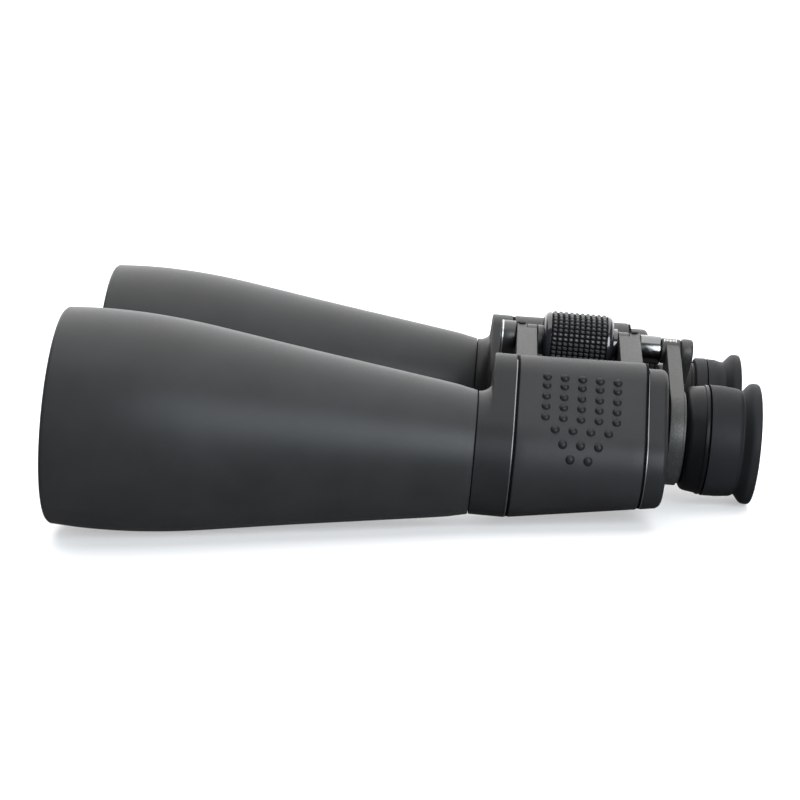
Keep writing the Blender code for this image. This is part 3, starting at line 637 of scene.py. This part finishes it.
def make_rear_cover(label, side):
    """The shallow rear cap with its rounded edge and the hole for the eyepiece guide."""
    round_off, edge_depth, guide_hole = 2.2, 2.4, 16.5
    rings = []
    for i in range(7):
        turn = 0.5 * math.pi * i / 6
        inset = round_off * (1 - math.sin(turn))
        y = REAR_COVER_END_Y + edge_depth * (1 - math.cos(turn))
        rings.append(rear_cover_ring(side, y, inset))
    rings += [rear_cover_ring(side, REAR_COVER_Y - 0.25, 0.0), rear_cover_ring(side, REAR_COVER_Y, 0.25)]
    inside_y = REAR_COVER_END_Y + edge_depth
    rings += [rear_cover_ring(side, y, COVER_WALL) for y in (REAR_COVER_Y, inside_y)]
    hole = mirrored(hull_outline(((*EYEPIECE, guide_hole),)), side)
    rings += [ring_at(hole, y) for y in (inside_y, REAR_COVER_END_Y)]
    node = f"{label}_rear_cover"
    add_piece(f"{node}_fine", loft_mesh(rings, closed=True), node)


# ---------------------------------------------------------------- objectives


def smooth_profile(points, steps=5):
    """More points along a profile, on a smooth curve through the given ones."""
    fine = []
    for i in range(len(points) - 1):
        a, b = Vector(points[i]), Vector(points[i + 1])
        before = Vector(points[i - 1]) if i else a
        after = Vector(points[i + 2]) if i + 2 < len(points) else b
        for step in range(steps):
            t = step / steps
            fine.append(tuple(0.5 * (
                2 * a + (b - before) * t + (2 * before - 5 * a + 4 * b - after) * t * t
                + (3 * a - before - 3 * b + after) * t ** 3
            )))
    return fine + [tuple(points[-1])]


def arc_points(edge_y, sag, radius, steps=12):
    """(y, r) points of a spherical face from its rim to the axis; sag is how far the pole lies ahead."""
    curve = (radius * radius + sag * sag) / (2.0 * sag)
    points = []
    for i in range(steps + 1):
        r = radius * (1.0 - i / steps)
        rise = math.copysign(math.sqrt(curve * curve - r * r), curve) - (curve - sag)
        points.append((edge_y + rise, r))
    return points


def make_lens(node, front, rear, radius, centre, side):
    profile = arc_points(*front, radius)[::-1] + arc_points(*rear, radius)
    add_piece(f"{node}_fine", turned_mesh(profile, centre, side, ring=False), node)


def make_objective(label, side):
    lip, body_curve = BARREL_OUTER[0], smooth_profile(BARREL_OUTER[1:])
    profile = [(*lip, 0.6), *body_curve, *[(y, r, 0.3) for y, r in BARREL_INNER]]
    node = f"{label}_objective_barrel"
    mesh = turned_mesh(rounded(profile, 0.4, steps=4), OBJECTIVE, side, steps=160)
    add_piece(f"{node}_fine", mesh, node)
    bore, seat = LENS_RADIUS + GAP, CELL_REAR_Y + 3.0
    cell = (
        (CELL_FRONT_Y, CELL_RADIUS), (CELL_REAR_Y, CELL_RADIUS), (CELL_REAR_Y, CLEAR_RADIUS - 1.0),
        (seat, CLEAR_RADIUS - 1.0), (seat, bore), (CELL_FRONT_Y - 2.0, bore), (CELL_FRONT_Y, bore + 1.6),
    )
    turned(f"{label}_objective_cell", cell, OBJECTIVE, side)
    flint_rear, joint_y, crown_front = seat + GAP, seat + 5.0, seat + 8.4
    flint, crown = f"{label}_objective_flint", f"{label}_objective_crown"
    make_lens(flint, (joint_y, -2.8), (flint_rear, -0.25), LENS_RADIUS, OBJECTIVE, side)
    make_lens(crown, (crown_front, 3.0), (joint_y + GAP, -2.8), LENS_RADIUS, OBJECTIVE, side)
    front, rear = crown_front + 3.2, crown_front + GAP
    ring = ((front, CLEAR_RADIUS), (front, LENS_RADIUS), (rear, LENS_RADIUS), (rear, CLEAR_RADIUS))
    turned(f"{label}_objective_ring", ring, OBJECTIVE, side)


# ---------------------------------------------------------------- hinge and focusing


def make_hinge():
    front_bore, bush_bore = 4.1, 2.7
    front_tube = ((8.3, TUBE_RADIUS), (17.0, TUBE_RADIUS), (17.0, front_bore), (8.3, front_bore))
    turned("front_hinge_tube", front_tube, HINGE)
    neck, rear, bore = SLEEVE_Y[1] + GAP, SLEEVE_Y[0] + GAP, SPINDLE_RADIUS + GAP
    rear_tube = (
        (-26.2, TUBE_RADIUS), (neck, TUBE_RADIUS), (neck, TUBE_NECK_RADIUS), (rear, TUBE_NECK_RADIUS),
        (rear, bore), (-26.2, bore),
    )
    turned("rear_hinge_tube", rear_tube, HINGE)
    turned("front_thrust_bush", ((2.5, 6.2), (8.0, 6.2), (8.0, bore), (2.5, bore)), HINGE)
    sleeve_bore = TUBE_NECK_RADIUS + GAP
    sleeve = (
        (SLEEVE_Y[1], SLEEVE_RADIUS, 0.5), (SLEEVE_Y[0], SLEEVE_RADIUS, 0.9),
        (SLEEVE_Y[0], sleeve_bore), (SLEEVE_Y[1], sleeve_bore),
    )
    turned("spindle_sleeve", sleeve, HINGE, material=POLISHED)
    bush = front_bore - 0.2
    socket = ((8.6, bush), (16.7, bush), (16.7, bush_bore), (8.6, bush_bore))
    turned("tripod_socket_bush", socket, HINGE)
    stud_end = 20.5
    stud = threaded_profile(9.5, stud_end, 2.4, 1.27)
    turned("tripod_cap_screw", stud, HINGE, ring=False, radius=0.0)
    rear, front = CAP_Y
    cap = (
        (front, 0.0), (front, CAP_RADIUS, 1.0), (rear, CAP_RADIUS, 0.4), (rear, 2.7, 0.2),
        (stud_end + GAP, 2.7, 0.0), (stud_end + GAP, 0.0),
    )
    turned("tripod_cap", cap, HINGE, ring=False)
    # A thin ring of light metal round the cap's front rim: a painted highlight where the rounded rim catches the
    # light.
    rim_rear, proud, sunk = front - 1.0, CAP_RADIUS + 0.02, CAP_RADIUS - 0.3
    edge = ((front - 0.4, sunk), (front - 0.5, proud), (rim_rear, proud), (rim_rear, sunk))
    add_piece(
        "tripod_cap_edge", turned_mesh(edge, HINGE), "tripod_cap", material=CAP_RIM_HIGHLIGHT, stands_for=False
    )
    # Near-black discs at the mouths of the left lugs' screw holes paint the shade inside the holes.
    for which, (y, radius) in HINGE_HOLE_SHADES.items():
        hole_shade = bmesh.new()
        bmesh.ops.create_cone(
            hole_shade, cap_ends=True, segments=48, radius1=radius, radius2=radius, depth=0.5
        )
        bmesh.ops.translate(hole_shade, verts=hole_shade.verts, vec=(0.0, y, KNUCKLE_RADIUS[LEFT] - 0.12))
        name = f"{which}_hinge_hole_shade"
        add_piece(name, hole_shade, "left_prism_housing", material=PAINTED_SHADE_BLACK, stands_for=False)


def threaded_profile(rear, front, radius, pitch):
    """A stud's profile with a ring groove for each turn of its thread."""
    points = [(front, 0.0), (front, radius - 0.3)]
    turns = int((front - rear) / pitch)
    for i in range(turns):
        y = front - pitch * i
        crest = (y - 0.25 * pitch, radius), (y - 0.5 * pitch, radius)
        points += [*crest, (y - pitch + 0.05, radius - 0.3)]
    return points + [(rear, radius - 0.3), (rear, 0.0)]


def knurl_mesh(rear, front, radius, bore):
    """The wheel's grip: rows of small blunt pyramids round a sleeve."""
    bm = bmesh.new()
    loops = []
    for row in range(KNURL_ROWS):
        for u in KNURL_SHARE:
            angle = 2 * math.pi * (row + u) / KNURL_ROWS
            loop = []
            for column in range(KNURL_COLUMNS):
                for v in KNURL_SHARE:
                    top = u > 0 and v > 0
                    r = radius if top else radius - KNURL_DEPTH
                    y = lerp(front, rear, (column + v) / KNURL_COLUMNS)
                    loop.append((y, r))
            loop += [(rear, radius - KNURL_DEPTH), (rear, bore), (front, bore)]
            loops.append([bm.verts.new((r * math.cos(angle), y, r * math.sin(angle))) for y, r in loop])
    for i, loop in enumerate(loops):
        other = loops[(i + 1) % len(loops)]
        for a in range(len(loop)):
            b = (a + 1) % len(loop)
            bm.faces.new((loop[a], loop[b], other[b], other[a]))
    return bm


def make_focus_wheel():
    rear, front = WHEEL_Y
    bore, recess, core, shoulder = SPINDLE_RADIUS + GAP, 8.0, 10.6, WHEEL_RADIUS - 0.3
    hub = (
        (front, 10.0, 0.4), (front - 0.9, 11.9, 1.0), (GRIP_Y[1] + GAP, shoulder, 0.3),
        (GRIP_Y[1] + GAP, core), (GRIP_Y[0] - GAP, core), (GRIP_Y[0] - GAP, shoulder, 0.3),
        (rear + 1.1, 11.9, 0.9), (rear, 10.0, 0.4), (rear, 7.2, 0.3), (rear - 1.8, 7.2, 0.3),
        (rear - 1.8, bore), (front - 3.4, bore), (front - 3.4, recess), (front, recess, 0.3),
    )
    turned("focus_wheel_hub", hub, HINGE)
    grip = knurl_mesh(*GRIP_Y, WHEEL_RADIUS, core + GAP)
    add_piece("focus_wheel_grip_fine", grip, "focus_wheel_grip")
    # A near-black band under the knurl paints the shade in the gaps between its bumps.
    depth, first, last = WHEEL_RADIUS - GROOVE_SHARE * KNURL_DEPTH, GRIP_Y[1] - 0.1, GRIP_Y[0] + 0.1
    base = core + 1.0
    band = turned_mesh(((first, depth), (last, depth), (last, base), (first, base)), HINGE)
    add_piece(
        "focus_wheel_groove_shade", band, "focus_wheel_grip", material=PAINTED_SHADE_BLACK, stands_for=False
    )


def arm_point(distance, offset=0.0):
    """A point so far from the hinge towards the left eyepiece, and so far off that line."""
    reach = math.hypot(*EYEPIECE)
    along_x, along_z = EYEPIECE[0] / reach, EYEPIECE[1] / reach
    return distance * along_x - offset * along_z, distance * along_z + offset * along_x


def arm_hole(front, rear):
    return (*EYEPIECE, ((front, TUBE_BORE), (rear, TUBE_BORE)))


def arm_boss(side):
    span = ARM_BOSS_Y, ARM_Y[0] + 1.0
    return slab_mesh(((*EYEPIECE, ARM_BOSS),), span, side, 0.3, arm_hole(span[1], span[0]))


def make_left_arm():
    through = SPINDLE_RADIUS + 0.2
    plate = slab_mesh(
        ((*HINGE, LEFT_HUB - 0.7), (*EYEPIECE, ARM_RING)), ARM_Y, LEFT, 0.45,
        arm_hole(ARM_Y[1], ARM_Y[0]),
    )
    rear, front = LEFT_HUB_Y
    bore = (front, through), (rear, through)
    hub = slab_mesh(((*HINGE, LEFT_HUB),), LEFT_HUB_Y, LEFT, 0.3, (*HINGE, bore))
    add_piece("left_bridge_arm_fine", joined(plate, arm_boss(LEFT), hub), "left_bridge_arm")
    ticks = []
    for i in range(9):
        length = 2.2 if i % 4 == 0 else 1.5
        y = front - 0.9 - 0.62 * i
        ticks.append(tick_mesh(y, 0.14, LEFT_HUB + 0.02, 112, length))
    add_piece(
        "left_hub_marks", joined(*ticks), "left_bridge_arm", material=MARK_PAINT, stands_for=False
    )


def tick_mesh(y, half_width, radius, degrees, length, steps=6):
    """A thin painted mark that lies round a hub, centred at an angle from +X."""
    spread = math.degrees(length / radius)
    rings = []
    for i in range(steps + 1):
        angle = math.radians(degrees + spread * (i / steps - 0.5))
        low, high = radius - 0.05, radius + 0.03
        ring = []
        for r, side_y in ((low, -1), (high, -1), (high, 1), (low, 1)):
            ring.append((r * math.cos(angle), y + side_y * half_width, r * math.sin(angle)))
        rings.append(ring)
    return loft_mesh(rings)


def make_right_arm():
    """The right arm steps back at its hub, which turns on the spindle behind the left arm."""
    plate = slab_mesh(
        ((*arm_point(24.0), RIGHT_HUB - 0.1), (*EYEPIECE, ARM_RING)), ARM_Y, RIGHT, 0.45,
        arm_hole(ARM_Y[1], ARM_Y[0]),
    )
    corners = (*arm_point(21.0, -2.5), 2.9), (*arm_point(21.0, 2.5), 2.9)
    knee = slab_mesh(corners, (RIGHT_HUB_Y[0], ARM_Y[1]), RIGHT, 0.4)
    rear, front = RIGHT_HUB_Y
    through, wide = SPINDLE_RADIUS + 0.2, END_SCREW_RADIUS + GAP
    bore = ((front, through), (END_SCREW_SEAT_Y, through), (END_SCREW_SEAT_Y, wide), (rear, wide))
    corners = (*HINGE, RIGHT_HUB), (*arm_point(17.0), RIGHT_HUB - 0.2)
    hub = slab_mesh(corners, RIGHT_HUB_Y, RIGHT, 1.3, (*HINGE, bore))
    add_piece("right_bridge_arm_fine", joined(plate, arm_boss(RIGHT), knee, hub), "right_bridge_arm")


def make_bridge():
    make_left_arm()
    make_right_arm()
    front, rear = END_SCREW_SEAT_Y - 0.2, RIGHT_HUB_Y[0] + 0.2
    head = (
        (front, 0.0), (front, END_SCREW_RADIUS), (rear, END_SCREW_RADIUS, 0.4), (rear, 1.4, 0.1),
        (rear + 0.8, 1.2), (rear + 0.8, 0.0),
    )
    turned("bridge_end_screw", head, HINGE, ring=False)


# ---------------------------------------------------------------- eyepieces


def make_collars():
    front = ARM_BOSS_Y - GAP
    left = (
        (front, 18.7), (-53.7, 20.3, 0.6), (-54.8, 21.1, 0.9), (-60.2, 21.9, 0.1), (-60.4, 22.3, 0.15),
        (-61.6, 22.3, 0.2), (-62.1, 21.9, 0.2), (-62.1, OCULAR_BORE), (-57.3, OCULAR_BORE),
        (-57.3, TUBE_BORE), (front, TUBE_BORE),
    )
    turned("left_eyepiece_collar", left, EYEPIECE, LEFT, material=COLLAR_SHADE_BLACK)
    right = (
        (front, 18.0), (-53.8, 19.6, 0.6), (-54.8, 20.2, 0.9), (-61.0, 20.8, 0.3), (-61.4, 20.4, 0.1),
        (-61.4, SKIRT_RADIUS, 0.1), (-64.6, SKIRT_RADIUS), (-64.6, OCULAR_BORE), (-55.4, OCULAR_BORE),
        (-55.4, TUBE_BORE), (front, TUBE_BORE),
    )
    turned("right_eyepiece_collar", right, EYEPIECE, RIGHT, material=COLLAR_SHADE_BLACK)
    ring = (
        (-63.1, 21.2, 0.2), (-63.6, 21.7, 0.3), (-67.6, 21.9, 0.3), (-68.0, 21.5, 0.2),
        (-68.0, OCULAR_BORE), (-66.3, OCULAR_BORE), (-66.3, SKIRT_RADIUS + GAP),
        (-63.1, SKIRT_RADIUS + GAP),
    )
    turned("dioptre_ring", ring, EYEPIECE, RIGHT)


def make_eyecup(label, side, start, neck_radius, neck_end):
    """The rubber eyecup: a neck, a waist and a flared rim, hollowed for the brow."""
    end, flare = EYECUP_END_Y, FLARE_RADIUS
    cup = (
        (start, neck_radius, 0.3), (neck_end, neck_radius - 0.1, 0.2), (-74.2, neck_radius - 0.7, 0.8),
        (-75.7, 20.9, 0.5), (-76.5, 21.7, 0.7), (-78.7, flare - 0.3, 1.2), (-80.0, flare, 0.6),
        (end + 0.8, flare, 0.3),
        (end, flare - 0.4, 0.4), (end, 22.4, 0.6), (-78.0, 19.6, 2.0), (-74.6, OCULAR_BORE, 1.0),
        (start, OCULAR_BORE),
    )
    node = f"{label}_eyecup"
    mesh = turned_mesh(rounded(cup, steps=6), EYEPIECE, side, steps=128)
    add_piece(f"{node}_fine", mesh, node)


def make_optics(label, side):
    lens_radius = LENS_BORE - GAP
    guide = ((-34.6, 16.2), (-45.2, 16.2), (-45.2, TUBE_BORE), (-34.6, TUBE_BORE))
    turned(f"{label}_eyepiece_guide", guide, EYEPIECE, side)
    # A near-black ring round the guide's rear end blocks the view past it and paints the shade in the gap beside
    # the guide.
    front, rear = SHIELD_Y
    shield = (
        (front, SHIELD_RADIUS), (rear, SHIELD_RADIUS), (rear, SHIELD_BORE), (front, SHIELD_BORE),
    )
    add_piece(
        f"{label}_guide_shade_ring", turned_mesh(shield, EYEPIECE, side), f"{label}_eyepiece_guide",
        material=PAINTED_SHADE_BLACK, stands_for=False,
    )
    sliding = TUBE_BORE - GAP
    tube = ((-31.5, sliding), (-55.8, sliding), (-55.8, LENS_BORE), (-31.5, LENS_BORE))
    turned(f"{label}_eyepiece_tube", tube, EYEPIECE, side)
    make_lens(f"{label}_field_lens", (-48.2, 1.6), (-50.4, -2.0), lens_radius, EYEPIECE, side)
    outer = OCULAR_BORE - GAP
    barrel = ((-57.6, outer), (-74.0, outer, 0.5), (-74.0, LENS_BORE, 0.5), (-57.6, LENS_BORE))
    turned(f"{label}_ocular_barrel", barrel, EYEPIECE, side)
    make_lens(f"{label}_eye_lens", (-67.2, 2.2), (-71.0, -1.4), lens_radius, EYEPIECE, side)


# ---------------------------------------------------------------- the whole object


def dress_cad_nodes():
    """Every node that still shows as it was packed gets its finished material."""
    for name, obj in frame["nodes"].items():
        for slot in obj.material_slots:
            slot.material = MATERIALS[SLOTS[name]]


def make_object():
    dress_cad_nodes()
    for label, side in SIDES.items():
        make_housing(label, side)
        make_armour(label, side)
        make_front_cover(label, side)
        make_rear_cover(label, side)
        make_seams(label, side)
        make_objective(label, side)
        make_optics(label, side)
    make_hinge()
    make_focus_wheel()
    make_bridge()
    make_collars()
    make_eyecup("left", LEFT, -62.4, 22.6, -68.2)
    make_eyecup("right", RIGHT, -68.3, 21.7, -72.0)


# ---------------------------------------------------------------- the set

CAMERA_AT = Vector((-0.92983, -0.02859, 0.21582))
CAMERA_AIM = Vector((0.0, 0.00466, 0.03841))
CAMERA_ROLL = math.radians(-1.33)
FOCAL_LENGTH = 100.5
WORLD_STRENGTH = 0.08
LIGHTS = (
    # name, place, aim, width and height, watts, colour
    ("overhead", (0.25, 0.0, 1.7), (0.05, 0.0, 0.0), (2.6, 2.6), 73.0, (1.0, 0.995, 0.97)),
    ("side", (-1.35, -0.74, 0.62), (0.0, 0.0, 0.05), (1.0, 1.0), 44.0, (0.90, 0.96, 1.0)),
)
FLOOR_COLOUR, FLOOR_GLOW = (0.51, 0.515, 0.53), 0.41
BACKDROP_X, BACKDROP_HEIGHT, BACKDROP_GLOW = 1.5, 1.6, 1.1


def look_at(obj, place, aim, roll=0.0):
    direction = (Vector(aim) - Vector(place)).normalized()
    turn = direction.to_track_quat("-Z", "Y").to_matrix().to_4x4()
    obj.matrix_world = Matrix.Translation(place) @ turn @ Matrix.Rotation(roll, 4, "Z")


def make_set():
    bm = bmesh.new()
    bmesh.ops.create_grid(bm, x_segments=8, y_segments=8, size=30.0)
    mesh = bpy.data.meshes.new("floor")
    bm.to_mesh(mesh)
    bm.free()
    floor_material, floor_shader = new_material("floor_white", FLOOR_COLOUR, 0.7)
    floor_shader.inputs["Emission Color"].default_value = (1.0, 1.0, 1.0, 1.0)
    floor_shader.inputs["Emission Strength"].default_value = FLOOR_GLOW
    mesh.materials.append(floor_material)
    floor = bpy.data.objects.new("floor", mesh)
    bpy.context.scene.collection.objects.link(floor)
    backdrop_mesh = bpy.data.meshes.new("backdrop")
    sides = (-6, 0), (6, 0), (6, BACKDROP_HEIGHT), (-6, BACKDROP_HEIGHT)
    corners = [(BACKDROP_X, y, z) for y, z in sides]
    backdrop_mesh.from_pydata(corners, [], [(0, 1, 2, 3)])
    glow, glow_shader = new_material("backdrop_white", (0.9, 0.9, 0.9), 0.8)
    glow_shader.inputs["Emission Color"].default_value = (1.0, 1.0, 1.0, 1.0)
    glow_shader.inputs["Emission Strength"].default_value = BACKDROP_GLOW
    backdrop_mesh.materials.append(glow)
    backdrop = bpy.data.objects.new("backdrop", backdrop_mesh)
    bpy.context.scene.collection.objects.link(backdrop)
    floor.visible_glossy = False

    world = bpy.data.worlds.new("studio")
    world.use_nodes = True
    background = world.node_tree.nodes["Background"]
    background.inputs["Color"].default_value = (1.0, 1.0, 1.0, 1.0)
    background.inputs["Strength"].default_value = WORLD_STRENGTH
    bpy.context.scene.world = world

    for name, place, aim, size, watts, colour in LIGHTS:
        lamp = bpy.data.lights.new(name, "AREA")
        lamp.shape = "RECTANGLE"
        lamp.size, lamp.size_y = size
        lamp.energy, lamp.color = watts, colour
        light = bpy.data.objects.new(name, lamp)
        bpy.context.scene.collection.objects.link(light)
        look_at(light, place, aim)

    camera_data = bpy.data.cameras.new("camera")
    camera_data.lens = FOCAL_LENGTH
    camera = bpy.data.objects.new("camera", camera_data)
    bpy.context.scene.collection.objects.link(camera)
    look_at(camera, CAMERA_AT, CAMERA_AIM, CAMERA_ROLL)
    bpy.context.scene.camera = camera
    bpy.context.scene.view_settings.view_transform = "Standard"


make_object()
make_set()
